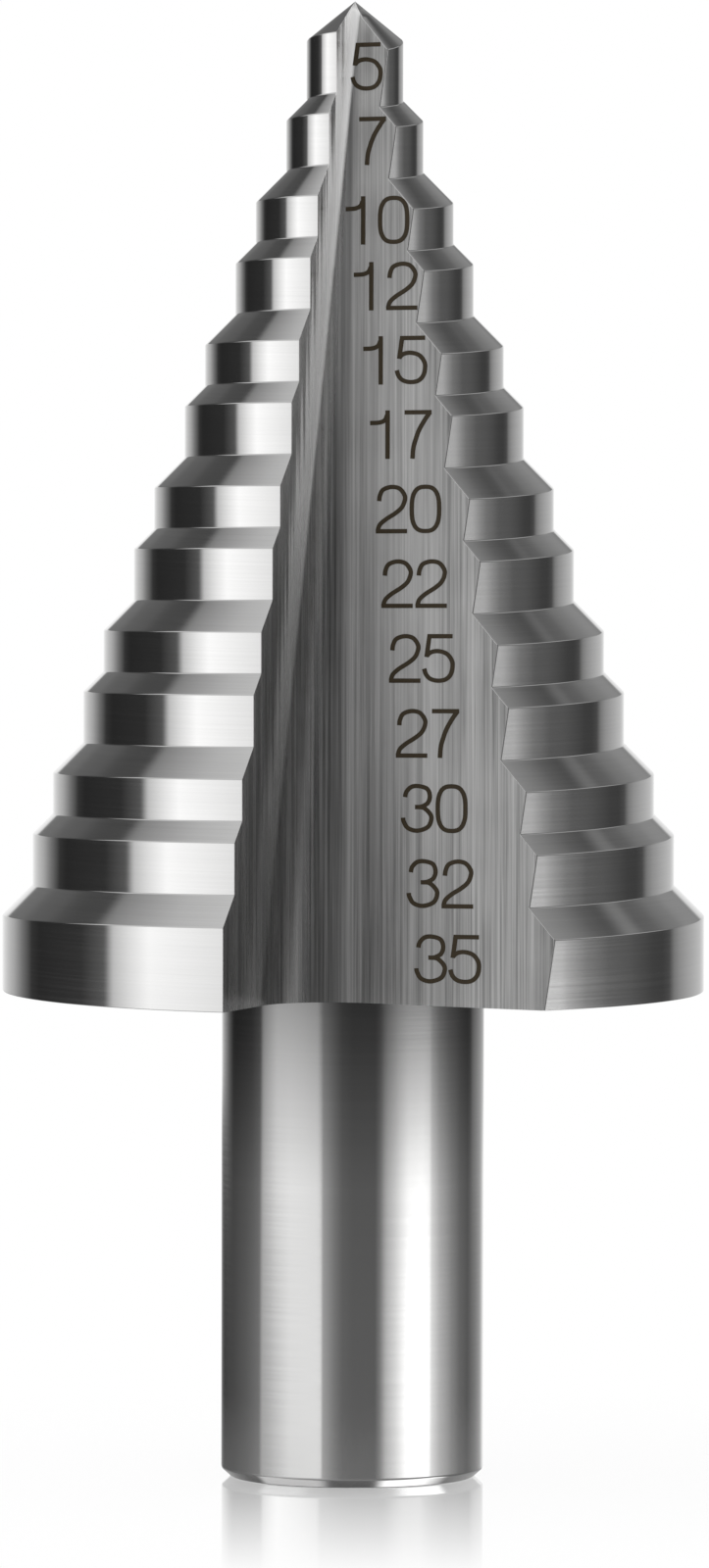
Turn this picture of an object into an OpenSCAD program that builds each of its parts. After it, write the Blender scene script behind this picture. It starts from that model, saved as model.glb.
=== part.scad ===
// Step drill bit for thirteen hole sizes, cut by two straight V-shaped flutes.
// The origin is the centre of the shank's end, and Z points up to the drill's point.
// It turns anticlockwise as seen from the point, which is right-hand cutting.

// Piece to draw

/* [Steps] */
// Diameter of the first step, which is the smallest hole
first_diameter = 5; // [4:0.5:8]
// Growth in diameter at the second, fourth and every other even step
small_rise = 2; // [1:0.5:3]
// Growth in diameter at the third, fifth and every other odd step
large_rise = 3; // [2:0.5:4]
// Number of steps
step_count = 13; // [5:1:13]
// Distance along the axis from one step to the next
step_pitch = 3.53; // [3:0.01:5]
// Length of the first step's edge, up to the lip of the point
first_land = 3; // [2:0.1:8]
// Length of the last step's edge, from the back face
last_land = 4.1; // [3:0.1:10]
// Slope of the chamfer between two steps, measured from the axis
chamfer_angle = 45; // [40:1:60]

/* [Point] */
// Angle between the two lips
point_angle = 118; // [100:1:135]
// How far the point's flank falls behind its lip, at the heel of the first step
lip_relief = 1.15; // [0.6:0.05:1.5]

/* [Relief] */
// How far a step's rim moves in toward the axis, from its cutting edge to its heel
radial_relief = 0.2; // [0.1:0.05:0.5]
// How far a step's rim falls, from its cutting edge to its heel
axial_relief = 0.7; // [0.3:0.05:0.9]
// Turn from a cutting edge back to the heel behind it
land_angle = 125; // [115:1:135]

/* [Flutes] */
// Angle between the two faces of a flute
flute_angle = 81; // [74:1:88]
// Thickness of the web between the flutes, at the point
web_thickness = 0.5; // [0.4:0.05:0.8]
// Growth of the web's thickness for each millimetre away from the point
web_growth = 0.32; // [0.26:0.01:0.34]
// Radius of the rounding in a flute's root, at the point
root_radius = 0.25; // [0.2:0.05:0.4]
// Growth of the root's radius for each millimetre away from the point
root_growth = 0.066; // [0.05:0.002:0.075]
// Angle at which the root's rounding cuts into the flute's faces
root_cut = 6; // [4:1:12]
// Turn of the front cutting edge around the axis, from the front toward the right
front_turn = -21; // [-90:1:90]

/* [Shank] */
// Diameter of the round shank
shank_diameter = 13; // [6:0.5:16]
// Length of the shank below the last step
shank_length = 24.2; // [15:0.1:60]
// Width of the chamfer around the shank's end
shank_chamfer = 0.45; // [0.2:0.05:1]

/* [Hidden] */
$fn = 128;
steel = "#8d8a84";
last = step_count - 1;
// How far a step reaches down inside the next one, and the shank up inside the head
overlap = 1.6;
// How far a chamfer's cone reaches up inside the next smaller step
cone_overlap = 0.3;
// How far a shape reaches past what it cuts or bounds
margin = 1;
// How far the two halves of the head reach past the plane between them
half_overlap = 0.1;
// Turn of that plane ahead of the cutting edge, so that it runs out inside the flutes
half_turn = 45;
// The turned axes lie this far ahead of the cutting edge, so the relief is even along the land
lead_angle = 90 - land_angle / 2;
// Shift of the axis that the rims are turned on
rim_shift = radial_relief / (2 * sin(land_angle / 2));
// Shift of the axis that the chamfers are turned on
chamfer_shift = (axial_relief * tan(chamfer_angle) + radial_relief) / (2 * sin(land_angle / 2));

function step_radius(i) = (first_diameter + floor(i / 2) * (small_rise + large_rise) + (i % 2) * small_rise) / 2;
function chamfer_height(i) = (step_radius(i) - step_radius(i - 1)) / tan(chamfer_angle);
function lower_level(i) = shank_length + last_land + chamfer_height(last) + (last - 1 - i) * step_pitch;
function land_foot(i) = i == last ? shank_length : lower_level(i);
function land_top(i) = i == 0 ? lower_level(0) + first_land : lower_level(i - 1) - chamfer_height(i);
// Radius about a shifted axis of the point that has radius r at the cutting edge
function shifted_radius(r, shift) = norm([r - shift * cos(lead_angle), shift * sin(lead_angle)]);

// The point
lip_angle = point_angle / 2;
point_z = land_top(0) + step_radius(0) / tan(lip_angle);
heel_angle = atan(1 / (1 / tan(lip_angle) + lip_relief / step_radius(0)));
flank_tilt = atan((cos(heel_angle) - cos(lip_angle)) / ((sin(lip_angle) + sin(heel_angle)) * cos(lead_angle)));
flank_angle = acos(sin(lip_angle) * cos(lead_angle) * sin(flank_tilt) + cos(lip_angle) * cos(flank_tilt));
flank_depth = point_z - land_foot(0) + overlap + first_diameter;

// The flutes
root_tilt = atan(web_growth / 2);
flute_reach = 2 * step_radius(last);
flute_length = point_z - shank_length + flute_reach;
half_flute = flute_angle / 2;
root_slope = root_growth * cos(root_tilt);
// Height of the root cone's tip above the drill's point, along the root
root_rise = root_radius / root_slope;
// Lean of the root cone's axis from the root line, and of the plane through its tangent lines
cone_lean = atan(root_slope / sin(half_flute));
plane_lean = atan(tan(cone_lean) * pow(cos(half_flute), 2));
cone_angle = asin(sin(cone_lean) * sin(half_flute) / cos(root_cut));

// One step: an off-centre rim under an off-centre chamfer
module step(i) {
    foot = i == last ? shank_length : land_foot(i) - overlap;
    top = land_foot(i - 1) + cone_overlap;
    low = foot - margin;
    edge = shifted_radius(step_radius(i), chamfer_shift);
    intersection() {
        translate([rim_shift, 0, foot])
            cylinder(h = top - foot + margin, r = shifted_radius(step_radius(i), rim_shift));
        translate([chamfer_shift, 0, low])
            cylinder(
                h = top - low,
                r1 = edge + (land_top(i) - low) * tan(chamfer_angle),
                r2 = edge - (top - land_top(i)) * tan(chamfer_angle)
            );
    }
}

// The first step, under a flank cone that tilts so that it falls behind the lip
module point() {
    foot = land_foot(0) - overlap;
    intersection() {
        translate([rim_shift, 0, foot])
            cylinder(h = point_z - foot + margin, r = shifted_radius(step_radius(0), rim_shift));
        translate([0, 0, point_z])
            rotate([0, -flank_tilt, 0])
                translate([0, 0, -flank_depth])
                    cylinder(h = flank_depth, r1 = flank_depth * tan(flank_angle), r2 = 0);
    }
}

// The half of the head that carries one land, with its cutting edge along X
module land() {
    size = flute_reach;
    intersection() {
        rotate([0, 0, lead_angle])
            union() {
                point();
                for (i = [1 : last])
                    step(i);
            }
        rotate([0, 0, half_turn])
            translate([-size, -size, 0])
                cube([2 * size, size + half_overlap, point_z + margin]);
    }
}

// What a flute removes: a V ahead of the cutting edge, with a cone that rounds its root
module flute() {
    translate([web_thickness / 2, 0, point_z])
        rotate([0, -root_tilt, 0]) {
            intersection() {
                translate([0, 0, -flute_length])
                    linear_extrude(height = flute_length + root_rise)
                        polygon([
                            [0, 0],
                            [flute_reach, 0],
                            [flute_reach, flute_reach],
                            [flute_reach / tan(flute_angle), flute_reach]
                        ]);
                rotate([0, 0, half_flute])
                    translate([0, 0, root_rise])
                        rotate([0, -plane_lean, 0])
                            translate([0, -2 * flute_reach, -2 * flute_length])
                                cube([3 * flute_reach, 4 * flute_reach, 3 * flute_length]);
            }
            rotate([0, 0, half_flute])
                translate([0, 0, root_rise])
                    rotate([0, -cone_lean, 0])
                        translate([0, 0, -flute_length])
                            cylinder(h = flute_length, r1 = flute_length * tan(cone_angle), r2 = 0);
        }
}

module shank() {
    radius = shank_diameter / 2;
    cylinder(h = shank_chamfer, r1 = radius - shank_chamfer, r2 = radius);
    translate([0, 0, shank_chamfer])
        cylinder(h = shank_length - shank_chamfer + overlap, r = radius);
}

module drill_bit() {
    color(steel)
        union() {
            rotate([0, 0, front_turn - 90])
                difference() {
                    union() {
                        land();
                        rotate([0, 0, 180])
                            land();
                    }
                    flute();
                    rotate([0, 0, 180])
                        flute();
                }
            shank();
        }
}

drill_bit();
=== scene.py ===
"""Step drill bit: polished steps, two ground flutes, size numerals and a plain shank."""

import math
import bmesh
import bpy
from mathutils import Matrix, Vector
from mathutils.geometry import tessellate_polygon


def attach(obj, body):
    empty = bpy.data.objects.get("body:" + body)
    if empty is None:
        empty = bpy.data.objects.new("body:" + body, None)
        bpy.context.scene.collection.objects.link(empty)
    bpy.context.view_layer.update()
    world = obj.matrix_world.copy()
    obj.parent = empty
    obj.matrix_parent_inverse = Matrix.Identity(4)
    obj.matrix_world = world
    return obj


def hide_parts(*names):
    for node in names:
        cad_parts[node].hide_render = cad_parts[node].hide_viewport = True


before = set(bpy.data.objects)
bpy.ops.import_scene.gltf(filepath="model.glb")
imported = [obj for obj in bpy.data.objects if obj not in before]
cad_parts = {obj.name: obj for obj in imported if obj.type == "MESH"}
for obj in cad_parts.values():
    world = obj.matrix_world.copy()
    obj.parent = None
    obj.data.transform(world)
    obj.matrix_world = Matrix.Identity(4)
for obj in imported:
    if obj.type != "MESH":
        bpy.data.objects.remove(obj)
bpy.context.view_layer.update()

# One millimetre, in the scene's metres
MM = 0.001

# Sizes of the solid, in millimetres and degrees
FIRST_DIAMETER = 5.0
SMALL_RISE = 2.0
LARGE_RISE = 3.0
STEP_COUNT = 13
STEP_PITCH = 3.53
FIRST_LAND = 3.0
LAST_LAND = 4.1
POINT_ANGLE = 118.0
LIP_RELIEF = 1.15
RADIAL_RELIEF = 0.2
AXIAL_RELIEF = 0.7
LAND_ANGLE = 125.0
FLUTE_ANGLE = 81.0
WEB_THICKNESS = 0.5
WEB_GROWTH = 0.32
ROOT_RADIUS = 0.25
ROOT_GROWTH = 0.066
FRONT_TURN = -21.0
SHANK_RADIUS = 6.5
SHANK_LENGTH = 24.2
SHANK_CHAMFER = 0.45

# Rounding of the edges, in millimetres
RIM_ROUND = 0.035
CUTTING_ROUND = 0.03
HEEL_ROUND = 0.05

# Rounding of the shank: how far it reaches in over the end face, and up the side
END_ROUND = 0.06
# Where the chamfer starts, out and up from its lower corner, and ends, in and down from its upper one
CHAMFER_START = (0.03, 0.05)
CHAMFER_END = (0.04, 0.06)
# Rounding of the corner between the shank and the head
FILLET = 0.15

# Fineness of the mesh
LAND_COLUMNS = 110
RAKE_COLUMNS = 8
ROOT_COLUMNS = 22
HEEL_COLUMNS = 12
SHANK_COLUMNS = 220
# Rows over a rim or a chamfer as shares of the way, and over the point's flank as shares of its radius
BAND_ROWS = (0.0, 0.5, 1.0)
FLANK_ROWS = (1.0, 0.8, 0.6, 0.45, 0.33)
# Length of the root's arc for each millimetre straight across it
ROOT_ARC = 1.14
# Rounds of the searches for a heel's turn and for a place in the root
HEEL_ROUNDS = 40
ROOT_ROUNDS = 30

LAST = STEP_COUNT - 1
FRONT_BASE = math.radians(FRONT_TURN - 90)
HALF_LAND = math.radians(LAND_ANGLE / 2)
LEAD = math.pi / 2 - HALF_LAND
RIM_SHIFT = RADIAL_RELIEF / (2 * math.sin(HALF_LAND))
CHAMFER_SHIFT = (AXIAL_RELIEF + RADIAL_RELIEF) / (2 * math.sin(HALF_LAND))


# Steps of the lands, as functions of the turn back from the cutting edge

def step_radius(i):
    return (FIRST_DIAMETER + (i // 2) * (SMALL_RISE + LARGE_RISE) + (i % 2) * SMALL_RISE) / 2


def chamfer_height(i):
    return step_radius(i) - step_radius(i - 1)


def lower_level(i):
    return SHANK_LENGTH + LAST_LAND + chamfer_height(LAST) + (LAST - 1 - i) * STEP_PITCH


def land_top(i):
    return lower_level(0) + FIRST_LAND if i == 0 else lower_level(i - 1) - chamfer_height(i)


def shifted_radius(r, shift):
    return math.hypot(r - shift * math.cos(LEAD), shift * math.sin(LEAD))


def rim_radius(i, turn):
    """Distance of step i's rim from the axis."""
    reach = shifted_radius(step_radius(i), RIM_SHIFT)
    a = turn + LEAD
    return RIM_SHIFT * math.cos(a) + math.sqrt(reach ** 2 - (RIM_SHIFT * math.sin(a)) ** 2)


def chamfer_level(i, r, turn):
    """Height of step i's chamfer at a distance from the axis."""
    a = turn + LEAD
    away = math.sqrt(r * r + CHAMFER_SHIFT ** 2 - 2 * r * CHAMFER_SHIFT * math.cos(a))
    return land_top(i) - (away - shifted_radius(step_radius(i), CHAMFER_SHIFT))


def rim_bottom(i, turn):
    return SHANK_LENGTH if i == LAST else chamfer_level(i + 1, rim_radius(i, turn), turn)


# The point's flank: a cone with its tip on the axis, tilted so that it falls behind the lip

LIP = math.radians(POINT_ANGLE / 2)
POINT_Z = land_top(0) + step_radius(0) / math.tan(LIP)
HEEL = math.atan(1 / (1 / math.tan(LIP) + LIP_RELIEF / step_radius(0)))
TILT = math.atan(
    (math.cos(HEEL) - math.cos(LIP)) / ((math.sin(LIP) + math.sin(HEEL)) * math.cos(LEAD))
)
FLANK_COS = math.sin(LIP) * math.cos(LEAD) * math.sin(TILT) + math.cos(LIP) * math.cos(TILT)


def flank_level(r, turn):
    lean = math.cos(turn + LEAD) * math.sin(TILT)
    down = math.cos(TILT)
    angle = math.atan2(lean, down) + math.acos(FLANK_COS / math.hypot(lean, down))
    return POINT_Z - r / math.tan(angle)


def rim_top(i, turn):
    r = rim_radius(i, turn)
    return flank_level(r, turn) if i == 0 else chamfer_level(i, r, turn)


# The flute: a rake face through the axis, a leaning heel face and a conical root between them

ROOT_TILT = math.atan(WEB_GROWTH / 2)
HALF_FLUTE = math.radians(FLUTE_ANGLE / 2)
HEEL_LEAN = 1 / (math.tan(2 * HALF_FLUTE) * math.cos(ROOT_TILT))
ROOT_SLOPE = ROOT_GROWTH * math.cos(ROOT_TILT)
CONE_LEAN = math.atan(ROOT_SLOPE / math.sin(HALF_FLUTE))
CONE_ANGLE = math.asin(math.sin(CONE_LEAN) * math.sin(HALF_FLUTE))
ROOT_SWEEP = math.acos(math.sin(HALF_FLUTE) * math.cos(CONE_LEAN) / math.cos(CONE_ANGLE))

TILTED_X = Vector((math.cos(ROOT_TILT), 0, math.sin(ROOT_TILT)))
TILTED_Y = Vector((0, 1, 0))
TILTED_Z = Vector((-math.sin(ROOT_TILT), 0, math.cos(ROOT_TILT)))
BISECTOR = TILTED_X * math.cos(HALF_FLUTE) + TILTED_Y * math.sin(HALF_FLUTE)
CONE_AXIS = BISECTOR * math.sin(CONE_LEAN) - TILTED_Z * math.cos(CONE_LEAN)
CONE_BACK = -BISECTOR * math.cos(CONE_LEAN) - TILTED_Z * math.sin(CONE_LEAN)
CONE_SIDE = -TILTED_X * math.sin(HALF_FLUTE) + TILTED_Y * math.cos(HALF_FLUTE)
CONE_TIP = Vector((WEB_THICKNESS / 2, 0, POINT_Z)) + TILTED_Z * (ROOT_RADIUS / ROOT_SLOPE)
HEEL_NORMAL = -(TILTED_X * math.sin(2 * HALF_FLUTE) - TILTED_Y * math.cos(2 * HALF_FLUTE))


def half_web(z):
    return WEB_THICKNESS / 2 + (POINT_Z - z) * WEB_GROWTH / 2


def root_point(z, sweep):
    around = CONE_BACK * math.cos(sweep) + CONE_SIDE * math.sin(sweep)
    ray = CONE_AXIS * math.cos(CONE_ANGLE) + around * math.sin(CONE_ANGLE)
    return CONE_TIP + ray * ((z - CONE_TIP.z) / ray.z)


def root_normal(sweep):
    around = CONE_BACK * math.cos(sweep) + CONE_SIDE * math.sin(sweep)
    return CONE_AXIS * math.sin(CONE_ANGLE) - around * math.cos(CONE_ANGLE)


def heel_turn(row):
    """Turn from the cutting edge back to the heel, where the other flute's face cuts this row."""
    turn = math.radians(LAND_ANGLE)
    for _ in range(HEEL_ROUNDS):
        r, z = row(turn)
        turn = math.atan(HEEL_LEAN) + math.acos(-half_web(z) / r / math.hypot(1, HEEL_LEAN))
    return turn


# Rows of the head, from the back face up. Each is a function that gives a radius and a height at a turn,
# and the name of the surface that it lies on.

def rim_row(i, share):
    def row(turn):
        low = rim_bottom(i, turn) + RIM_ROUND
        high = rim_top(i, turn) - RIM_ROUND
        return rim_radius(i, turn), low + (high - low) * share

    return row, "rim"


def chamfer_row(i, share):
    def row(turn):
        wide = rim_radius(i, turn) - RIM_ROUND
        narrow = rim_radius(i - 1, turn) + RIM_ROUND
        r = wide + (narrow - wide) * share
        return r, chamfer_level(i, r, turn)

    return row, "chamfer"


def flank_row(share):
    def row(turn):
        r = (rim_radius(0, turn) - RIM_ROUND) * share
        return r, flank_level(r, turn)

    return row, "flank"


def back_row():
    def row(turn):
        return rim_radius(LAST, turn) - RIM_ROUND, SHANK_LENGTH

    return row, "back"


def head_rows():
    rows = [back_row()]
    for i in range(LAST, -1, -1):
        rows += [rim_row(i, share) for share in BAND_ROWS]
        if i > 0:
            rows += [chamfer_row(i, share) for share in BAND_ROWS]
    return rows + [flank_row(share) for share in FLANK_ROWS]


def land_normal(kind, x, y, z):
    """Outward direction of a land's surface, with the cutting edge along X."""
    if kind == "back":
        return Vector((0, 0, -1))
    shift = {"rim": RIM_SHIFT, "chamfer": CHAMFER_SHIFT, "flank": 0.0}[kind]
    out = Vector((x - shift * math.cos(LEAD), y - shift * math.sin(LEAD), 0)).normalized()
    if kind == "rim":
        return out
    if kind == "chamfer":
        return (out + Vector((0, 0, 1))).normalized()
    axis = Vector((math.sin(TILT) * math.cos(LEAD), math.sin(TILT) * math.sin(LEAD), -math.cos(TILT)))
    ray = Vector((x, y, z - POINT_Z)).normalized()
    return (ray * FLANK_COS - axis).normalized()


def land_points(row, kind, end):
    """Points of one row across a land, from just behind the cutting edge to just before the heel."""
    r, _ = row(0.0)
    start = CUTTING_ROUND / r
    end = end - HEEL_ROUND / r
    points = []
    for k in range(LAND_COLUMNS + 1):
        turn = start + (end - start) * k / LAND_COLUMNS
        r, z = row(turn)
        x, y = r * math.cos(turn), -r * math.sin(turn)
        points.append((Vector((x, y, z)), land_normal(kind, x, y, z), (r * turn, z)))
    return points


def across(x, y):
    """Distance to the right of the axis, as seen from the front, of a point of the front flute."""
    return x * math.cos(FRONT_BASE) - y * math.sin(FRONT_BASE)


def flute_points(row, end):
    """Points of one row across the flute ahead of the cutting edge, from the far heel to that edge."""
    edge_r, edge_z = row(0.0)
    heel_r, heel_z = row(end)
    heel_y = heel_r * math.sin(end)
    middle = (edge_z + heel_z) / 2
    rake_length = edge_r - root_point(middle, -ROOT_SWEEP).x
    root_length = (root_point(middle, -ROOT_SWEEP) - root_point(middle, ROOT_SWEEP)).length * ROOT_ARC
    heel_length = heel_y - root_point(middle, ROOT_SWEEP).y

    def level(gone):
        """Height of the row at a distance gone across the flute."""
        return heel_z + (edge_z - heel_z) * gone / (rake_length + root_length + heel_length)

    points = []
    for k in range(HEEL_COLUMNS + 1):
        share = k / HEEL_COLUMNS
        z = level(heel_length * share)
        near = root_point(z, ROOT_SWEEP).y
        y = heel_y - HEEL_ROUND + (near - heel_y + HEEL_ROUND) * share
        x = half_web(z) + HEEL_LEAN * y
        points.append((Vector((x, y, z)), -HEEL_NORMAL, (across(x, y), z)))
    for k in range(1, ROOT_COLUMNS):
        share = k / ROOT_COLUMNS
        z = level(heel_length + root_length * share)
        sweep = ROOT_SWEEP * (1 - 2 * share)
        place = root_point(z, sweep)
        points.append((place, root_normal(sweep), (across(place.x, place.y), z)))
    for k in range(RAKE_COLUMNS + 1):
        share = k / RAKE_COLUMNS
        z = level(heel_length + root_length + rake_length * share)
        near = root_point(z, -ROOT_SWEEP).x
        x = near + (edge_r - CUTTING_ROUND - near) * share
        points.append((Vector((x, 0, z)), Vector((0, 1, 0)), (across(x, 0), z)))
    return points


# Material slots of the bit
LAND_STEEL, FLUTE_STEEL, RAKE_STEEL, SHANK_STEEL, BACK_STEEL = range(5)


def turned(v, angle):
    c, s = math.cos(angle), math.sin(angle)
    return Vector((v.x * c - v.y * s, v.x * s + v.y * c, v.z))


class Shell:
    """A mesh under construction: points in millimetres, their normals, faces, slots and surface places."""

    def __init__(self):
        self.points = []
        self.normals = []
        self.faces = []
        self.slots = []
        self.places = []

    def point(self, place, normal):
        self.points.append(place)
        self.normals.append(normal)
        return len(self.points) - 1

    def face(self, corners, slot, places):
        self.faces.append(corners)
        self.slots.append(slot)
        self.places += places

    def mesh(self, name):
        mesh = bpy.data.meshes.new(name)
        mesh.from_pydata([p * MM for p in self.points], [], self.faces)
        mesh.polygons.foreach_set("material_index", self.slots)
        mesh.polygons.foreach_set("use_smooth", [True] * len(self.faces))
        layer = mesh.uv_layers.new(name="surface")
        layer.data.foreach_set("uv", [v for place in self.places for v in place])
        mesh.normals_split_custom_set_from_vertices(self.normals)
        return mesh


def beside(spot, step):
    return spot[0] + step, spot[1]


def head_ring(shell, row, kind):
    """Adds the points of one row, over both lands and both flutes."""
    end = heel_turn(row)
    land = land_points(row, kind, end)
    flute = flute_points(row, end)
    ring = []
    for base in (FRONT_BASE, FRONT_BASE + math.pi):
        for points, turn in ((land, base), (flute, base + math.pi)):
            for place, normal, spot in points:
                ring.append((shell.point(turned(place, turn), turned(normal, turn)), spot))
    return ring


def head(shell):
    """Adds both lands, both flutes and the point. Returns the outline of the back face."""
    rings = [head_ring(shell, row, kind) for row, kind in head_rows()]
    half_count = len(rings[0]) // 2
    heel_end = LAND_COLUMNS + 1 + HEEL_COLUMNS + ROOT_COLUMNS // 2

    def slot_at(k):
        k %= half_count
        if k <= LAND_COLUMNS:
            return LAND_STEEL
        return FLUTE_STEEL if k < heel_end else RAKE_STEEL

    for low, high in zip(rings, rings[1:]):
        count = len(low)
        for k in range(count):
            n = (k + 1) % count
            corners = (low[k][0], high[k][0], high[n][0], low[n][0])
            spots = [low[k][1], high[k][1], high[n][1], low[n][1]]
            # The strip over an edge takes its place on the surface from the flute beside it
            if k % half_count == LAND_COLUMNS:
                spots[:2] = beside(spots[3], HEEL_ROUND), beside(spots[2], HEEL_ROUND)
            if k % half_count == half_count - 1:
                spots[2:] = beside(spots[1], -CUTTING_ROUND), beside(spots[0], -CUTTING_ROUND)
            shell.face(corners, slot_at(k), spots)
    top = rings[-1]
    tip = shell.point(Vector((0, 0, POINT_Z)), Vector((0, 0, 1)))
    for k in range(len(top)):
        n = (k + 1) % len(top)
        shell.face((top[k][0], tip, top[n][0]), slot_at(k), [top[k][1], (0, POINT_Z), top[n][1]])
    return [index for index, _ in rings[0]]


def flat_spot(shell, index):
    p = shell.points[index]
    return p.x, p.y


def shank(shell):
    """Adds the round shank and its end face. Returns the outline of its upper end."""
    down, slanted, sideways = (0, -1), (1, -1), (1, 0)
    profile = [
        (SHANK_RADIUS - SHANK_CHAMFER - END_ROUND, 0.0, down),
        (SHANK_RADIUS - SHANK_CHAMFER + CHAMFER_START[0], CHAMFER_START[1], slanted),
        (SHANK_RADIUS - CHAMFER_END[0], SHANK_CHAMFER - CHAMFER_END[1], slanted),
        (SHANK_RADIUS, SHANK_CHAMFER + END_ROUND, sideways),
        (SHANK_RADIUS, SHANK_LENGTH / 2, sideways),
        (SHANK_RADIUS, SHANK_LENGTH - FILLET, sideways),
        (SHANK_RADIUS + FILLET / 3, SHANK_LENGTH - FILLET / 3, slanted),
        (SHANK_RADIUS + FILLET, SHANK_LENGTH, down),
    ]
    rings = []
    for radius, z, (out, up) in profile:
        ring = []
        for k in range(SHANK_COLUMNS):
            a = 2 * math.pi * k / SHANK_COLUMNS
            place = Vector((radius * math.cos(a), radius * math.sin(a), z))
            normal = Vector((out * math.cos(a), out * math.sin(a), up)).normalized()
            ring.append((shell.point(place, normal), (SHANK_RADIUS * a, z)))
        rings.append(ring)
    for low, high in zip(rings, rings[1:]):
        for k in range(SHANK_COLUMNS):
            n = (k + 1) % SHANK_COLUMNS
            far = SHANK_RADIUS * 2 * math.pi * (k + 1) / SHANK_COLUMNS
            corners = (low[k][0], low[n][0], high[n][0], high[k][0])
            spots = [low[k][1], (far, low[n][1][1]), (far, high[n][1][1]), high[k][1]]
            shell.face(corners, SHANK_STEEL, spots)
    centre = shell.point(Vector((0, 0, 0)), Vector((0, 0, -1)))
    bottom = rings[0]
    for k in range(SHANK_COLUMNS):
        n = (k + 1) % SHANK_COLUMNS
        corners = (bottom[n][0], bottom[k][0], centre)
        shell.face(corners, BACK_STEEL, [flat_spot(shell, i) for i in corners])
    return [index for index, _ in rings[-1]]


def back_face(shell, outline, inner):
    """Adds the flat back face of the head, around the shank."""
    everyone = outline + inner
    loops = [[shell.points[i] for i in outline], [shell.points[i] for i in inner]]
    for triangle in tessellate_polygon(loops):
        corners = [everyone[i] for i in triangle]
        a, b, c = (shell.points[i] for i in corners)
        if (b - a).cross(c - a).z > 0:
            corners.reverse()
        shell.face(tuple(corners), BACK_STEEL, [flat_spot(shell, i) for i in corners])


# Numerals: the hole sizes, marked on the front flute's heel face and laid out as seen from the front

# Sizes of the digits, in millimetres
DIGIT_WIDTH = 1.34
DIGIT_HEIGHT = 2.16
DIGIT_PITCH = 1.66
STROKE = 0.215
# How far a stroke stands out of the face and is set into it
MARK_TOP = 0.012
MARK_DEPTH = 0.02
# Every other stroke stands out this much more, so that no two tops lie in one place
TOP_STEP = 0.003
# Middle of the first numeral, right of the axis and up, and the way from one numeral to the next
FIRST_NUMERAL = (0.63, 70.02)
NUMERAL_STEP = (0.331, -3.628)
# The first numerals are moved left and down, to stay clear of the heel where the face is narrow
FIRST_NUDGES = [(-0.06, -0.10), (-0.09, -0.13), (-0.22, -0.40), (-0.10, 0.0)]
# Rise of the writing for each millimetre to the right
WRITING_RISE = 0.026
# Steps between two points of a curve, and the most that a corner widens a stroke
CURVE_STEPS = 5
SHARPEST_MITRE = 2.2

# Each digit is a list of strokes, and each stroke a list of runs that meet at blunt corners. Their points are
# shares of the digit's width and height.
DIGITS = {
    "1": [
        [[(0.62, 1.05), (0.62, -0.05)]],
        [[(-0.02, 0.765), (0.32, 0.775), (0.52, 0.83), (0.60, 0.94)]],
    ],
    "2": [
        [
            [
                (0.05, 0.68), (0.08, 0.81), (0.2, 0.94), (0.5, 1.0), (0.8, 0.96), (0.98, 0.81),
                (0.98, 0.68), (0.87, 0.53), (0.63, 0.40), (0.3, 0.27), (0.07, 0.14), (0.0, 0.0),
            ],
        ],
        [[(-0.07, 0.0), (1.07, 0.0)]],
    ],
    "3": [
        [
            [
                (0.05, 0.75), (0.1, 0.87), (0.28, 0.98), (0.54, 1.0), (0.85, 0.94),
                (0.95, 0.78), (0.87, 0.62), (0.64, 0.54), (0.41, 0.53),
            ],
        ],
        [
            [
                (0.5, 0.53), (0.74, 0.51), (0.97, 0.37), (1.0, 0.24), (0.87, 0.08),
                (0.49, 0.0), (0.15, 0.06), (0.0, 0.21), (-0.02, 0.29),
            ],
        ],
    ],
    "5": [
        [
            [(1.0, 1.0), (0.16, 1.0)],
            [(0.16, 1.0), (0.055, 0.53)],
        ],
        [
            [
                (0.06, 0.55), (0.2, 0.635), (0.47, 0.665), (0.78, 0.61), (0.97, 0.46), (1.0, 0.31),
                (0.93, 0.14), (0.75, 0.03), (0.47, 0.0), (0.2, 0.04), (0.04, 0.14), (-0.03, 0.27),
            ],
        ],
    ],
    "7": [
        [[(0.0, 1.0), (0.985, 1.0)]],
        [[(0.93, 1.0), (0.74, 0.83), (0.53, 0.6), (0.4, 0.38), (0.32, 0.19), (0.29, -0.05)]],
    ],
}
# The digit 0 is a superellipse, which is an ellipse at a squareness of 2
ZERO_POINTS = 40
ZERO_SQUARENESS = 2.7


def curve_through(points):
    """Points along a smooth curve through the given ones, or the two ends of a straight run."""
    if len(points) == 2:
        return points
    found = []
    for k in range(len(points) - 1):
        a = points[max(k - 1, 0)]
        b, c = points[k], points[k + 1]
        d = points[min(k + 2, len(points) - 1)]
        for step in range(CURVE_STEPS):
            t = step / CURVE_STEPS
            bend = (2 * a - 5 * b + 4 * c - d) * t * t + (3 * b - a - 3 * c + d) * t ** 3
            found.append(b + ((c - a) * t + bend) / 2)
    return found + [points[-1]]


def zero_outline():
    points = []
    for k in range(ZERO_POINTS):
        a = 2 * math.pi * k / ZERO_POINTS
        power = 2 / ZERO_SQUARENESS
        x = math.copysign(abs(math.cos(a)) ** power, math.cos(a))
        y = math.copysign(abs(math.sin(a)) ** power, math.sin(a))
        points.append(Vector((0.5 + x / 2, 0.5 + y / 2)))
    return points


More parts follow.
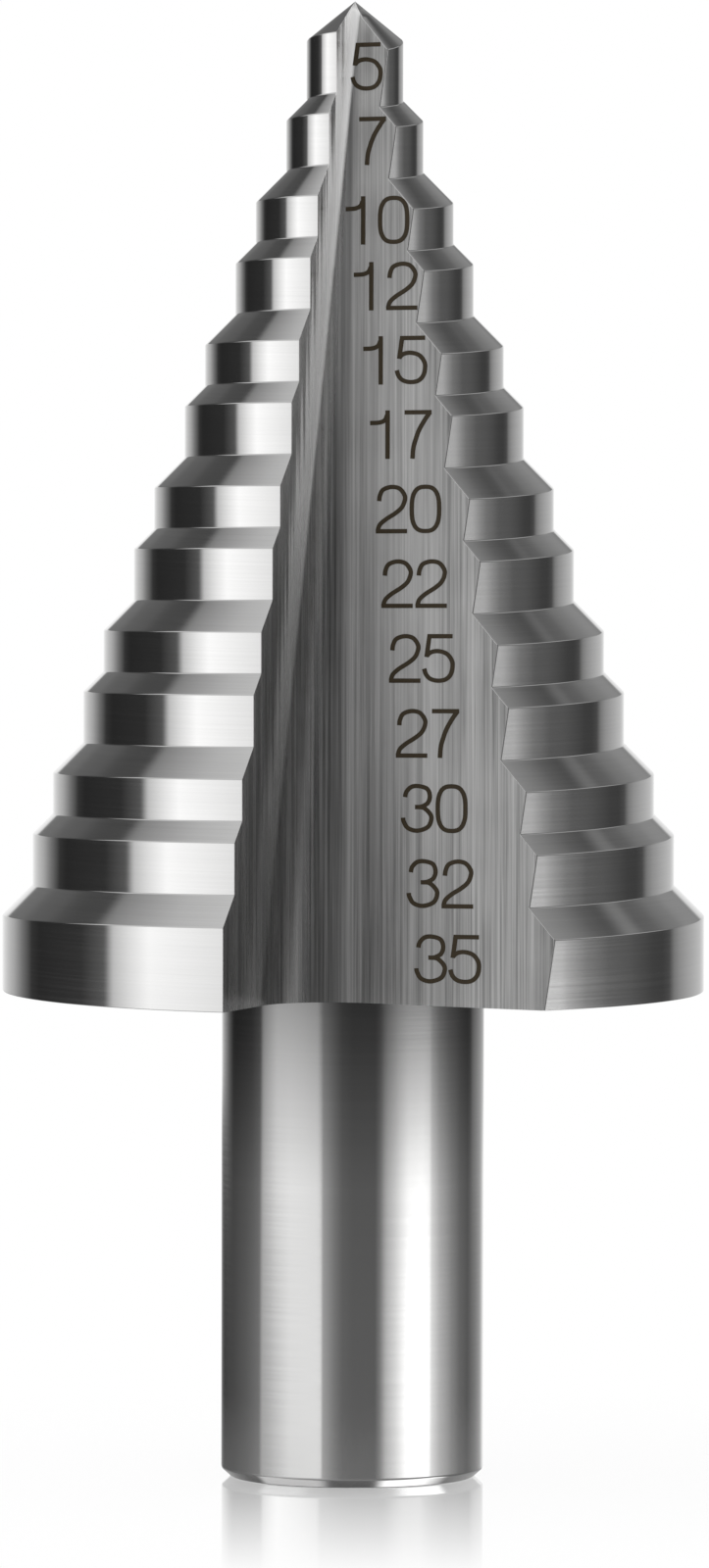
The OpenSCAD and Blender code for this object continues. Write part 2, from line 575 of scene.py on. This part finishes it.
def digit_strokes(digit):
    """Centre lines of a digit in its own square, each with whether it closes on itself."""
    if digit == "0":
        return [(zero_outline(), True)]
    strokes = []
    for runs in DIGITS[digit]:
        line = []
        for run in runs:
            line = line[:-1] + curve_through([Vector(p) for p in run])
        strokes.append((line, False))
    return strokes


def numeral_strokes(text):
    """Centre lines of a numeral in millimetres, with its middle at the origin."""
    strokes = []
    for place, digit in enumerate(text):
        left = place * DIGIT_PITCH
        for line, closed in digit_strokes(digit):
            line = [Vector((left + p.x * DIGIT_WIDTH, (p.y - 0.5) * DIGIT_HEIGHT)) for p in line]
            strokes.append((line, closed))
    sides = [p.x for line, _ in strokes for p in line]
    middle = Vector(((min(sides) + max(sides)) / 2, 0))
    return [([p - middle for p in line], closed) for line, closed in strokes]


def stroke_sides(line, closed):
    """Both sides of a stroke, with mitred corners."""
    sides = []
    for k, p in enumerate(line):
        after = line[(k + 1) % len(line)] - p if closed or k < len(line) - 1 else p - line[k - 1]
        before = p - line[k - 1] if closed or k > 0 else after
        before, after = before.normalized(), after.normalized()
        along = (before + after).normalized()
        side = Vector((-along.y, along.x))
        widening = 1 / max(side.dot(Vector((-after.y, after.x))), 1 / SHARPEST_MITRE)
        sides.append((p + side * STROKE / 2 * widening, p - side * STROKE / 2 * widening))
    return sides


def face_point(x, z):
    """The point of the front flute at x and z as seen from the front, and the way out of the steel there."""
    c, s = math.cos(FRONT_BASE), math.sin(FRONT_BASE)
    y = (x - half_web(z) * c) / (HEEL_LEAN * c - s)
    point, out = Vector((half_web(z) + HEEL_LEAN * y, y, z)), -HEEL_NORMAL
    near, far = ROOT_SWEEP, 0.0
    if across(*root_point(z, near).xy) > x:
        for _ in range(ROOT_ROUNDS):
            middle = (near + far) / 2
            if across(*root_point(z, middle).xy) > x:
                near = middle
            else:
                far = middle
        point, out = root_point(z, near), root_normal(near)
    return turned(point, FRONT_BASE), turned(out, FRONT_BASE)


def add_stroke(marks, centre, line, closed, top):
    """Adds a thin strip along a stroke. It is set into the face, and stands out by its top."""
    rings = []
    for pair in stroke_sides(line, closed):
        (left, left_out), (right, right_out) = (
            face_point(centre.x + p.x, centre.y + p.y + WRITING_RISE * p.x) for p in pair
        )
        ring = [left + left_out * top, right + right_out * top]
        ring += [right - right_out * MARK_DEPTH, left - left_out * MARK_DEPTH]
        rings.append([marks.verts.new(p * MM) for p in ring])
    following = rings[1:] + rings[:1] if closed else rings[1:]
    for near, far in zip(rings, following):
        for k in range(4):
            n = (k + 1) % 4
            marks.faces.new((near[k], near[n], far[n], far[k]))
    if not closed:
        marks.faces.new(rings[0][::-1])
        marks.faces.new(rings[-1])


def numeral_mesh():
    marks = bmesh.new()
    for i in range(STEP_COUNT):
        nudge = FIRST_NUDGES[i] if i < len(FIRST_NUDGES) else (0.0, 0.0)
        centre = Vector(FIRST_NUMERAL) + Vector(NUMERAL_STEP) * i + Vector(nudge)
        hole = math.floor(2 * step_radius(i))
        for k, (line, closed) in enumerate(numeral_strokes(str(hole))):
            add_stroke(marks, centre, line, closed, MARK_TOP + TOP_STEP * (k % 2))
    bmesh.ops.recalc_face_normals(marks, faces=marks.faces)
    mesh = bpy.data.meshes.new("size_numerals")
    marks.to_mesh(mesh)
    marks.free()
    return mesh


# Materials

WHITE = (1, 1, 1, 1)
STEEL = (0.615, 0.613, 0.61)
# Pale matt steel, painted into the flute as painted light
PAINTED_LIGHT_STEEL = (0.85, 0.847, 0.843)
DARK_OXIDE = (0.020, 0.014, 0.006)
PALE_OXIDE = (0.048, 0.034, 0.017)
OXIDE_SHINE = 0.25
OXIDE_GRAIN = 9000.0
OXIDE_ROUGHNESS = (0.45, 0.65)
# Turn of the stretched shine, for lines that run up the surface and across it
ALONG, ACROSS = 0.0, 0.25

# Grinding lines: how much closer together the fine and the broad ones lie than the coarse ones, and how much
# they and the soft clouds add to those
FINE_LINES, FINE_WEIGHT = 3.7, 0.6
BROAD_LINES, BROAD_WEIGHT = 0.13, 0.5
CLOUD_SCALE, CLOUD_WEIGHT = 260.0, 0.25
# Where a noise starts and stops to count: one alone, coarse and fine lines, and these with broad ones
NOISE_REACH = (0.3, 0.7)
LINE_REACH = (0.55, 1.05)
SHADE_REACH = (0.85, 1.5)
LINE_DEPTH = 0.01
# Places of the colours among the sockets of a Mix node, which also has some for numbers and vectors
FIRST_COLOUR, SECOND_COLOUR, MIXED_COLOUR = 6, 7, 2

# The shank's shade just below the head, and the height where it starts
NECK_SHADE = (0.36, 0.36, 0.36)
NECK_START = 14.8

# The crease between the front flute's rake face and its root: its place at height 0, and its lean
CREASE_START = -6.9
CREASE_LEAN = 0.0974
# The band of painted light beside it on the rake face, how far its edge frays, and the lines that fray it
BAND_WIDTH = 0.68
BAND_FRAY = 0.25
BAND_LINES = (9.0, 0.05)
# Ramps of the painted light, pale matt steel, by height or by the distance right of the crease. Each gives
# the places of its two ends, and then the share of matt there.
BAND_LEFT = (-BAND_WIDTH - 0.2, -BAND_WIDTH + 0.15, 0.0, 1.0)
BAND_RIGHT = (-0.05, 0.1, 1.0, 0.0)
BAND_LOWER = (30.0, 58.0, 0.06, 0.40)
BAND_UPPER = (58.0, 67.0, 0.0, 0.34)
ROOT_RIGHT = (0.2, 2.6, 1.0, 0.1)
ROOT_LOWER = (42.0, 56.0, 0.0, 0.14)
ROOT_UPPER = (61.0, 69.0, 0.0, -0.07)
# In the middle of the wide face the first two go by the share of its width
MIDDLE_LEFT = (0.16, 0.38, 0.0, 1.0)
MIDDLE_RIGHT = (0.45, 1.0, 1.0, 0.0)
MIDDLE_LOWER = (24.0, 40.0, 0.04, 0.145)
MIDDLE_UPPER = (53.0, 66.0, 1.0, 0.1)
# That width by height, right of the crease, and the distance where measuring stops
FACE_WIDTH = (SHANK_LENGTH, 72.0, 14.5, 1.65)
WIDEST = 16.0
# Share of matt painted light at which the steel is wholly pale
PALE_SHARE = 0.35


def add_object(name, data):
    made = bpy.data.objects.new(name, data)
    bpy.context.scene.collection.objects.link(made)
    return made


def new_material(name):
    material = bpy.data.materials.new(name)
    material.use_nodes = True
    return material, material.node_tree


def shader_of(tree):
    return tree.nodes["Principled BSDF"]


def tint_of(tree):
    return tree.nodes["tint"].outputs[MIXED_COLOUR]


def node(tree, kind, **values):
    made = tree.nodes.new(kind)
    for key, value in values.items():
        setattr(made, key, value)
    return made


def object_place(tree):
    return node(tree, "ShaderNodeTexCoord").outputs["Object"]


def surface_place(tree):
    return node(tree, "ShaderNodeUVMap", uv_map="surface").outputs[0]


def split_place(tree, place):
    made = node(tree, "ShaderNodeSeparateXYZ")
    tree.links.new(place, made.inputs[0])
    return made.outputs


def ranged(tree, value, low, high, out_low, out_high):
    """The value moved from one range to another, and held inside it."""
    made = node(tree, "ShaderNodeMapRange")
    for name, number in (("From Min", low), ("From Max", high), ("To Min", out_low), ("To Max", out_high)):
        made.inputs[name].default_value = number
    tree.links.new(value, made.inputs["Value"])
    return made.outputs[0]


def sum_of(tree, first, second, weight=1.0):
    """First plus second times weight."""
    made = node(tree, "ShaderNodeMath", operation="MULTIPLY_ADD")
    tree.links.new(second, made.inputs[0])
    made.inputs[1].default_value = weight
    tree.links.new(first, made.inputs[2])
    return made.outputs[0]


def combined(tree, operation, first, second):
    made = node(tree, "ShaderNodeMath", operation=operation)
    tree.links.new(first, made.inputs[0])
    tree.links.new(second, made.inputs[1])
    return made.outputs[0]


def product(tree, first, second):
    return combined(tree, "MULTIPLY", first, second)


def mixed(tree, share, first, second, **values):
    """Two colours mixed by a share. Each is a plain colour or comes from another node."""
    made = node(tree, "ShaderNodeMix", data_type="RGBA", **values)
    tree.links.new(share, made.inputs[0])
    for socket, colour in ((FIRST_COLOUR, first), (SECOND_COLOUR, second)):
        if isinstance(colour, tuple):
            made.inputs[socket].default_value = (*colour, 1)
        else:
            tree.links.new(colour, made.inputs[socket])
    return made.outputs[MIXED_COLOUR]


def noise(tree, place, scale, detail, dimensions="3D"):
    made = node(tree, "ShaderNodeTexNoise", noise_dimensions=dimensions)
    made.inputs["Scale"].default_value = scale
    made.inputs["Detail"].default_value = detail
    tree.links.new(place, made.inputs["Vector"])
    return made.outputs["Fac"]


def line_noise(tree, lines, detail, closer=1.0):
    """Noise stretched into lines. Lines gives how many features lie across and up each millimetre."""
    stretch = node(tree, "ShaderNodeMapping")
    stretch.inputs["Scale"].default_value = (closer * lines[0], closer * lines[1], 1.0)
    tree.links.new(surface_place(tree), stretch.inputs["Vector"])
    return noise(tree, stretch.outputs[0], 1.0, detail, "2D")


def steel(name, roughness, spread, lines, streaks, bump, anisotropy, turn):
    """Bare ground steel. Its fine lines vary the colour, the gloss and the relief."""
    material, tree = new_material(name)
    shader = shader_of(tree)
    shader.inputs["Metallic"].default_value = 1.0
    shader.inputs["Anisotropic"].default_value = anisotropy
    shader.inputs["Anisotropic Rotation"].default_value = turn
    tangent = node(tree, "ShaderNodeTangent", direction_type="UV_MAP", uv_map="surface")
    tree.links.new(tangent.outputs[0], shader.inputs["Tangent"])
    coarse = line_noise(tree, lines, detail=3.0)
    fine = line_noise(tree, lines, detail=2.0, closer=FINE_LINES)
    broad = line_noise(tree, lines, detail=1.0, closer=BROAD_LINES)
    clouds = noise(tree, object_place(tree), CLOUD_SCALE, detail=5.0)
    both = sum_of(tree, coarse, fine, FINE_WEIGHT)
    gloss = ranged(tree, both, *LINE_REACH, roughness - spread, roughness + spread)
    tree.links.new(gloss, shader.inputs["Roughness"])
    shade = sum_of(tree, sum_of(tree, both, broad, BROAD_WEIGHT), clouds, CLOUD_WEIGHT)
    darker = tuple(c * (1 - streaks) for c in STEEL)
    tint = mixed(tree, ranged(tree, shade, *SHADE_REACH, 0.0, 1.0), darker, STEEL, name="tint")
    tree.links.new(tint, shader.inputs["Base Color"])
    relief = node(tree, "ShaderNodeBump")
    relief.inputs["Strength"].default_value = bump
    relief.inputs["Distance"].default_value = LINE_DEPTH * MM
    tree.links.new(both, relief.inputs["Height"])
    tree.links.new(relief.outputs[0], shader.inputs["Normal"])
    return material


def shade_neck(material):
    """Painted shade: the shank's colour darkens toward the head above it, standing in for the shade under the
    head.
    """
    tree = material.node_tree
    height = split_place(tree, object_place(tree))["Z"]
    share = ranged(tree, height, NECK_START * MM, SHANK_LENGTH * MM, 0.0, 1.0)
    shade = mixed(tree, share, tint_of(tree), NECK_SHADE, blend_type="MULTIPLY")
    tree.links.new(shade, shader_of(tree).inputs["Base Color"])
    return material


def crease_band(tree, away, height):
    """A band of painted light on the rake face beside the crease, with its far edge frayed by the grinding
    lines.
    """
    lines = line_noise(tree, BAND_LINES, detail=3.0)
    frayed = sum_of(tree, away, ranged(tree, lines, *NOISE_REACH, -BAND_FRAY, BAND_FRAY))
    sides = product(tree, ranged(tree, frayed, *BAND_LEFT), ranged(tree, away, *BAND_RIGHT))
    strength = sum_of(tree, ranged(tree, height, *BAND_LOWER), ranged(tree, height, *BAND_UPPER))
    return product(tree, sides, strength)


# Painted light in the root, by height and by the distance right of the crease
def matt_root(tree, away, height):
    strength = sum_of(tree, ranged(tree, height, *ROOT_LOWER), ranged(tree, height, *ROOT_UPPER))
    return product(tree, ranged(tree, away, *ROOT_RIGHT), strength)


def matt_middle(tree, away, height):
    """Painted light in the middle of the wide face, which widens toward the shank."""
    right = ranged(tree, away, 0.0, WIDEST, 0.0, WIDEST)
    share = combined(tree, "DIVIDE", right, ranged(tree, height, *FACE_WIDTH))
    sides = product(tree, ranged(tree, share, *MIDDLE_LEFT), ranged(tree, share, *MIDDLE_RIGHT))
    strength = product(tree, ranged(tree, height, *MIDDLE_LOWER), ranged(tree, height, *MIDDLE_UPPER))
    return product(tree, sides, strength)


def coarse_parts(material):
    """Painted light: the flute's steel is made pale, matt and less metallic in its root, in the middle of its
    wider face and in a band beside the crease between the rake face and the root, where it stands in for
    brighter light."""
    tree = material.node_tree
    shader = shader_of(tree)
    place = split_place(tree, surface_place(tree))
    height = place["Y"]
    crease = ranged(tree, height, 0.0, POINT_Z, CREASE_START, CREASE_START + CREASE_LEAN * POINT_Z)
    away = sum_of(tree, place["X"], crease, -1.0)
    band, root, middle = (part(tree, away, height) for part in (crease_band, matt_root, matt_middle))
    share = sum_of(tree, sum_of(tree, band, root), middle)
    tree.links.new(ranged(tree, share, 0.0, 1.0, 1.0, 0.0), shader.inputs["Metallic"])
    paleness = ranged(tree, share, 0.0, PALE_SHARE, 0.0, 1.0)
    pale = mixed(tree, paleness, tint_of(tree), PAINTED_LIGHT_STEEL)
    tree.links.new(pale, shader.inputs["Base Color"])
    return material


def bit_steels():
    """The steels of the bit, in the order of their slots."""
    land = steel(
        "land_steel", roughness=0.08, spread=0.012, lines=(0.05, 7.0), streaks=0.06,
        bump=0.015, anisotropy=0.5, turn=ACROSS,
    )
    flute = steel(
        "flute_steel", roughness=0.34, spread=0.06, lines=(7.0, 0.045), streaks=0.68,
        bump=0.5, anisotropy=0.5, turn=ALONG,
    )
    rake = steel(
        "rake_steel", roughness=0.26, spread=0.05, lines=(7.0, 0.045), streaks=0.5,
        bump=0.35, anisotropy=0.5, turn=ALONG,
    )
    side = steel(
        "shank_steel", roughness=0.10, spread=0.012, lines=(0.05, 6.0), streaks=0.03,
        bump=0.012, anisotropy=0.6, turn=ACROSS,
    )
    back = steel(
        "back_steel", roughness=0.28, spread=0.04, lines=(4.0, 4.0), streaks=0.14,
        bump=0.08, anisotropy=0.0, turn=ALONG,
    )
    # The flute and rake steels get painted light in places, and the shank painted shade below the head
    return [land, coarse_parts(flute), coarse_parts(rake), shade_neck(side), back]


def burnt_mark():
    """The dark, slightly uneven oxide of a laser-marked numeral."""
    material, tree = new_material("numeral_oxide")
    shader = shader_of(tree)
    shader.inputs["Specular IOR Level"].default_value = OXIDE_SHINE
    grain = noise(tree, object_place(tree), OXIDE_GRAIN, detail=3.0)
    tree.links.new(mixed(tree, grain, DARK_OXIDE, PALE_OXIDE), shader.inputs["Base Color"])
    tree.links.new(ranged(tree, grain, *NOISE_REACH, *OXIDE_ROUGHNESS), shader.inputs["Roughness"])
    return material


def make_bit():
    shell = Shell()
    outline = head(shell)
    back_face(shell, outline, shank(shell))
    bit = add_object("step_drill_steel", shell.mesh("step_drill_steel"))
    for material in bit_steels():
        bit.data.materials.append(material)
    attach(bit, "root")
    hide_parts("drill_bit")


def make_numerals():
    marks = add_object("size_numerals", numeral_mesh())
    marks.data.materials.append(burnt_mark())
    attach(marks, "root")


# Studio: a white surround, and a tent of soft boxes and dark flags that only reflections see. Its rings give
# levels of light at turns in degrees from the camera's side of the object toward the right.

NADIR = [(-180, 0.13), (180, 0.13)]
GROUND = [
    (-180, 0.08), (-148, 0.08), (-143, 0.90), (-100, 0.90), (-90, 0.30), (90, 0.30), (100, 2.1), (135, 2.1),
    (138, 1.3), (141, 0.80), (147, 0.35), (155, 0.20), (180, 0.20),
]
UNDER = [
    (-180, 0.50), (-150, 0.14), (-110, 0.18), (-84, 0.60), (-60, 0.75), (-30, 0.60), (-10, 0.22),
    (25, 0.20), (50, 0.32), (75, 0.34), (95, 0.20), (125, 0.12), (150, 0.30), (180, 0.50),
]
# What the shank sees
LOW = [
    (-180, 0.60), (-160, 0.10), (-152, 0.06), (-129, 0.10), (-109, 0.16), (-97, 0.22), (-90, 0.27),
    (-87, 0.58), (-79, 0.65), (-69, 0.85), (-57, 1.14), (-28, 1.28), (-26, 0.56), (-16, 0.30),
    (-9, 0.20), (0, 0.175), (20, 0.175), (24.5, 0.38), (29.5, 0.86), (38, 1.30), (50, 2.25), (63, 2.4),
    (71, 2.1), (74, 1.3), (83, 0.80), (98, 0.40), (109, 0.22), (122, 0.15), (138, 0.28), (149, 0.42),
    (156, 0.60), (166, 1.0), (180, 1.0),
]
# What the lands see
EYE_LEVEL_LEFT = [
    (-180, 1.0), (-172, 1.0), (-148, 0.55), (-139, 0.25), (-131, 0.05), (-125, 0.030), (-100, 0.040),
    (-93, 0.10), (-88.5, 0.14), (-85, 0.85), (-78, 1.25), (-70, 1.65), (-56, 1.45), (-44, 1.27),
    (-31, 0.97), (-28, 0.42),
]
EYE_LEVEL_RIGHT = [
    (82, 0.27), (92, 0.15), (101, 0.135), (116, 0.075), (122, 0.07), (127, 0.10), (131, 0.30),
    (136, 0.42), (144, 0.53), (152, 0.60), (160, 0.66), (172, 0.9), (180, 1.0),
]
EYE_LEVEL = [
    *EYE_LEVEL_LEFT,
    (-10, 0.12), (0, 0.08), (25, 0.08), (40, 0.50), (66, 0.65), (72, 0.62), (77, 0.42),
    *EYE_LEVEL_RIGHT,
]
# What the shank sees in its mirror image in the floor
MIRRORED = [
    *EYE_LEVEL_LEFT,
    (0, 0.20), (28, 0.20), (38, 0.70), (46, 1.05), (62, 1.05), (70, 0.50),
    *EYE_LEVEL_RIGHT,
]
RAISED = [
    (-180, 0.25), (-165, 0.21), (-144, 0.19), (-128, 0.10), (-112, 0.10), (-108, 0.455), (-60, 0.455),
    (-30, 0.34), (-5, 0.10), (15, 0.06), (25, 0.05), (116, 0.07), (139, 0.35), (150, 0.44),
    (155, 0.35), (162, 0.33), (168, 0.25), (180, 0.25),
]
FRONT_BOX = [
    (-180, 0.25), (-165, 0.19), (-146, 0.145), (-142, 0.11), (-137, 0.09), (-112, 0.10), (-108, 0.92),
    (-50, 0.92), (-30, 0.4), (0, 0.08), (60, 0.06), (90, 0.50), (134, 0.50), (138.5, 0.16), (143, 0.18),
    (147, 0.25), (155, 0.32), (170, 0.34), (180, 0.25),
]
OVERHEAD = [
    (-180, 0.30), (-150, 0.14), (-131.5, 0.09), (-129, 0.34), (-124, 0.46), (-113, 0.72), (-97, 0.88),
    (-30, 0.70), (10, 0.30), (60, 0.12), (80, 0.50), (106, 0.50), (115, 0.42), (121, 0.30), (126, 0.17),
    (131, 0.115), (138, 0.14), (150, 0.22), (180, 0.30),
]
ZENITH = [(-180, 0.60), (180, 0.60)]
# From the nadir up, each ring takes over from the one below it between these heights in degrees
RINGS = [
    (GROUND, (-79, -73)), (UNDER, (-46, -42)), (LOW, (-9.5, -7.5)), (EYE_LEVEL, (-4.12, -3.85)),
    (MIRRORED, (5, 6)), (RAISED, (7.5, 10.5)), (FRONT_BOX, (17, 23)), (OVERHEAD, (34, 44)),
    (ZENITH, (76, 88)),
]
TENT_RADIUS = 2000.0
TENT_COLUMNS = 360
# Heights of the tent's rows, closest where the shank's light ends and the lands' begins
TENT_RISES = [*range(-90, -10, 2), -10, -9, -8, -7, *(k / 8 for k in range(-48, -16)), *range(-2, 91)]


def between(stops, turn):
    for (a, low), (b, high) in zip(stops, stops[1:]):
        if a <= turn <= b:
            return low + (high - low) * (turn - a) / (b - a)
    raise ValueError("the turn lies outside the stops")


def eased(start, end, value):
    t = min(max((value - start) / (end - start), 0.0), 1.0)
    return t * t * (3 - 2 * t)


def light_level(turn, rise):
    level = between(NADIR, turn)
    for stops, (start, end) in RINGS:
        level += (between(stops, turn) - level) * eased(start, end, rise)
    return level


def make_world():
    world = bpy.data.worlds.new("studio")
    bpy.context.scene.world = world
    world.use_nodes = True
    world.cycles.sampling_method = "NONE"
    back = world.node_tree.nodes["Background"]
    back.inputs["Color"].default_value = WHITE
    back.inputs["Strength"].default_value = 1.0


def tent_mesh():
    """A sphere around everything, with its light at each point."""
    points, levels, faces = [], [], []
    for rise in TENT_RISES:
        for k in range(TENT_COLUMNS + 1):
            turn = -180 + 360 * k / TENT_COLUMNS
            a, e = math.radians(turn), math.radians(rise)
            way = Vector((math.sin(a) * math.cos(e), -math.cos(a) * math.cos(e), math.sin(e)))
            points.append(way * TENT_RADIUS * MM)
            levels.append(light_level(turn, rise))
    for j in range(len(TENT_RISES) - 1):
        for k in range(TENT_COLUMNS):
            a = j * (TENT_COLUMNS + 1) + k
            b = a + TENT_COLUMNS + 1
            faces.append((a, a + 1, b + 1, b))
    mesh = bpy.data.meshes.new("tent")
    mesh.from_pydata(points, [], faces)
    mesh.attributes.new("level", "FLOAT", "POINT").data.foreach_set("value", levels)
    return mesh


def tent_light():
    material, tree = new_material("tent_light")
    material.cycles.emission_sampling = "NONE"
    tree.nodes.clear()
    level = node(tree, "ShaderNodeAttribute", attribute_name="level")
    glow = node(tree, "ShaderNodeEmission")
    out = node(tree, "ShaderNodeOutputMaterial")
    tree.links.new(level.outputs["Fac"], glow.inputs["Strength"])
    tree.links.new(glow.outputs[0], out.inputs["Surface"])
    return material


def make_tent():
    tent = add_object("tent", tent_mesh())
    tent.visible_camera = False
    tent.visible_diffuse = False
    tent.visible_shadow = False
    tent.data.materials.append(tent_light())


# Floor: a round sheet, with its mirror image and its matt share fading from the shank toward its rim

FLOOR_RADIUS = 46.0
FLOOR_CORNERS = 96
MIRROR_END = 43.5
FLOOR_MATT = 0.12
FLOOR_IOR = 1.9


def layered(tree, share, under, over):
    """One shader over another, which it covers by a share."""
    made = node(tree, "ShaderNodeMixShader")
    for source, socket in zip((share, under, over), made.inputs):
        tree.links.new(source, socket)
    return made.outputs[0]


def floor_sheet():
    """A clear sheet over the white ground. It is glossiest under the shank, and holds a faint shadow."""
    material, tree = new_material("floor_sheet")
    tree.nodes.clear()
    away = node(tree, "ShaderNodeVectorMath", operation="LENGTH")
    tree.links.new(object_place(tree), away.inputs[0])
    fade = ranged(tree, away.outputs["Value"], SHANK_RADIUS * MM, MIRROR_END * MM, 1.0, 0.0)
    clear = node(tree, "ShaderNodeBsdfTransparent").outputs[0]
    matt = node(tree, "ShaderNodeBsdfDiffuse")
    matt.inputs["Color"].default_value = WHITE
    base = layered(tree, ranged(tree, fade, 0.0, 1.0, 0.0, FLOOR_MATT), clear, matt.outputs[0])
    mirror = node(tree, "ShaderNodeBsdfGlossy")
    mirror.inputs["Color"].default_value = WHITE
    mirror.inputs["Roughness"].default_value = 0.0
    fresnel = node(tree, "ShaderNodeFresnel")
    fresnel.inputs["IOR"].default_value = FLOOR_IOR
    from_camera = node(tree, "ShaderNodeLightPath").outputs["Is Camera Ray"]
    gloss = product(tree, product(tree, fresnel.outputs[0], fade), from_camera)
    out = node(tree, "ShaderNodeOutputMaterial")
    tree.links.new(layered(tree, gloss, base, mirror.outputs[0]), out.inputs["Surface"])
    return material


def make_floor():
    rim = []
    for k in range(FLOOR_CORNERS):
        a = 2 * math.pi * k / FLOOR_CORNERS
        rim.append((FLOOR_RADIUS * MM * math.cos(a), FLOOR_RADIUS * MM * math.sin(a), 0.0))
    mesh = bpy.data.meshes.new("floor")
    mesh.from_pydata(rim, [], [tuple(range(FLOOR_CORNERS))])
    floor = add_object("floor", mesh)
    mesh.materials.append(floor_sheet())


# Camera, as the photograph was taken: far away, a little above the object's middle

CAMERA_DISTANCE = 620.0
CAMERA_HEIGHT = 67.5
CAMERA_SIDE = -0.02
CAMERA_PITCH = 3.055
CAMERA_ROLL = -0.12
CAMERA_LENS = 287.5
CAMERA_SENSOR = 36.0
# The nearest and the farthest that it sees
CAMERA_REACH = (10.0, 10000.0)


def make_camera():
    data = bpy.data.cameras.new("camera")
    data.lens = CAMERA_LENS
    data.sensor_width = CAMERA_SENSOR
    data.clip_start, data.clip_end = (reach * MM for reach in CAMERA_REACH)
    camera = add_object("camera", data)
    camera.location = (CAMERA_SIDE * MM, -CAMERA_DISTANCE * MM, CAMERA_HEIGHT * MM)
    camera.rotation_euler = (math.radians(90 - CAMERA_PITCH), math.radians(CAMERA_ROLL), 0)
    bpy.context.scene.camera = camera


make_bit()
make_numerals()
make_world()
make_tent()
make_floor()
make_camera()
bpy.context.scene.view_settings.view_transform = "Standard"
